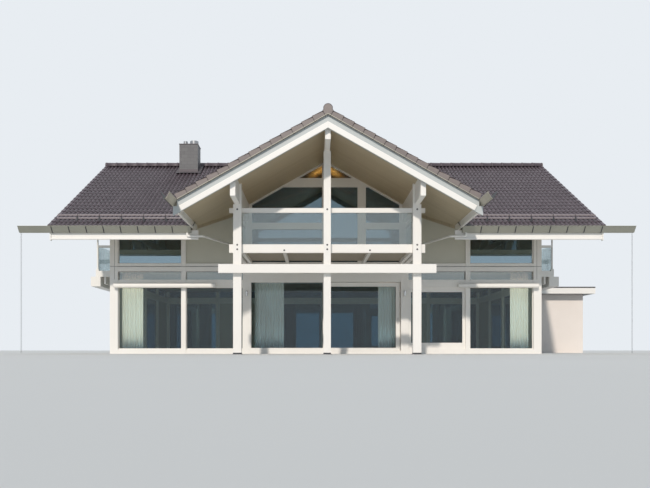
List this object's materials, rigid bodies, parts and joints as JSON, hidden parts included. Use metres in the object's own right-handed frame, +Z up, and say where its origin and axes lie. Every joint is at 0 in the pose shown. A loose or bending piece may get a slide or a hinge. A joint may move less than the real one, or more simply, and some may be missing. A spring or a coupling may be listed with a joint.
{
  "type": "detached house",
  "caption": "Two-storey post-and-beam house with a cross gable over a glazed balcony, side balconies, a flat-roofed annex and a sliding terrace door.",
  "frame": {"origin": "on the ground, under the crossing of the main ridge and the cross gable's ridge", "axes": "+X along the main ridge to the annex side, -Y towards the garden front, +Z up"},
  "size_m": [20.04, 17.57, 7.753],
  "materials": {
    "white_timber": "opaque white paint, satin",
    "grey_timber": "opaque grey paint, satin",
    "white_soffit": "white boards, satin",
    "white_render": "fine painted render",
    "concrete_floor": "stone floor on concrete",
    "window_glass": "clear insulating glass",
    "balustrade_glass": "clear safety glass",
    "roof_tile": "matt engobed clay tiles",
    "grey_zinc": "weathered zinc",
    "dark_metal": "dark coated metal",
    "white_metal": "white powder coat",
    "stainless_steel": "brushed stainless steel",
    "chimney_slate": "slate cladding",
    "deck_boards": "oiled decking",
    "curtain_fabric": "sheer pale fabric"
  },
  "bodies": {
    "house": {"annex_fascias": "white_timber", "annex_roof": "dark_metal", "annex_walls": "white_render", "awning_cassettes": "white_metal", "balcony_beams": "white_timber", "balcony_deck": "deck_boards", "balcony_glass": "balustrade_glass", "balcony_handrails": "white_timber", "balcony_joists": "white_timber", "balcony_posts": "white_timber", "base_rails": "white_timber", "chimney_flues": "stainless_steel", "chimney_stack": "chimney_slate", "cross_deck_left": "white_soffit", "cross_deck_right": "white_soffit", "cross_tiles_left": "roof_tile", "cross_tiles_right": "roof_tile", "curtains": "curtain_fabric", "drainpipes": "grey_zinc", "eaves_fascias": "white_timber", "eaves_gutters": "grey_zinc", "gable_frame": "white_timber", "gable_glass": "window_glass", "gable_gutters": "grey_zinc", "grey_verge_boards": "grey_timber", "ground_slab": "concrete_floor", "ground_window_frames": "white_timber", "ground_window_glass": "window_glass", "main_deck_front_left": "white_soffit", "main_deck_front_right": "white_soffit", "main_deck_rear": "white_soffit", "main_tiles_front_left": "roof_tile", "main_tiles_front_right": "roof_tile", "main_tiles_rear": "roof_tile", "purlins": "white_timber", "rain_chains": "stainless_steel", "ridge_caps": "roof_tile", "side_balcony_beams": "white_timber", "side_balcony_decks": "white_timber", "side_balcony_glass": "balustrade_glass", "side_balcony_posts": "white_timber", "side_balcony_rails": "white_timber", "snow_guards": "dark_metal", "terrace_door_surround": "white_timber", "upper_floor": "white_timber", "upper_window_frames": "white_timber", "upper_window_glass": "window_glass", "wall_beams": "white_timber", "wall_lamps": "white_metal", "wall_panels": "white_render", "wall_posts": "white_timber", "white_verge_boards": "white_timber"},
    "terrace_door": {"terrace_door_leaf": "white_timber", "terrace_door_glass": "window_glass"}
  },
  "joints": [
    {"name": "terrace_door_slide", "type": "slide", "parent": "house", "child": "terrace_door", "axis": [-1, 0, 0], "range_m": [0, 2.2]}
  ]
}
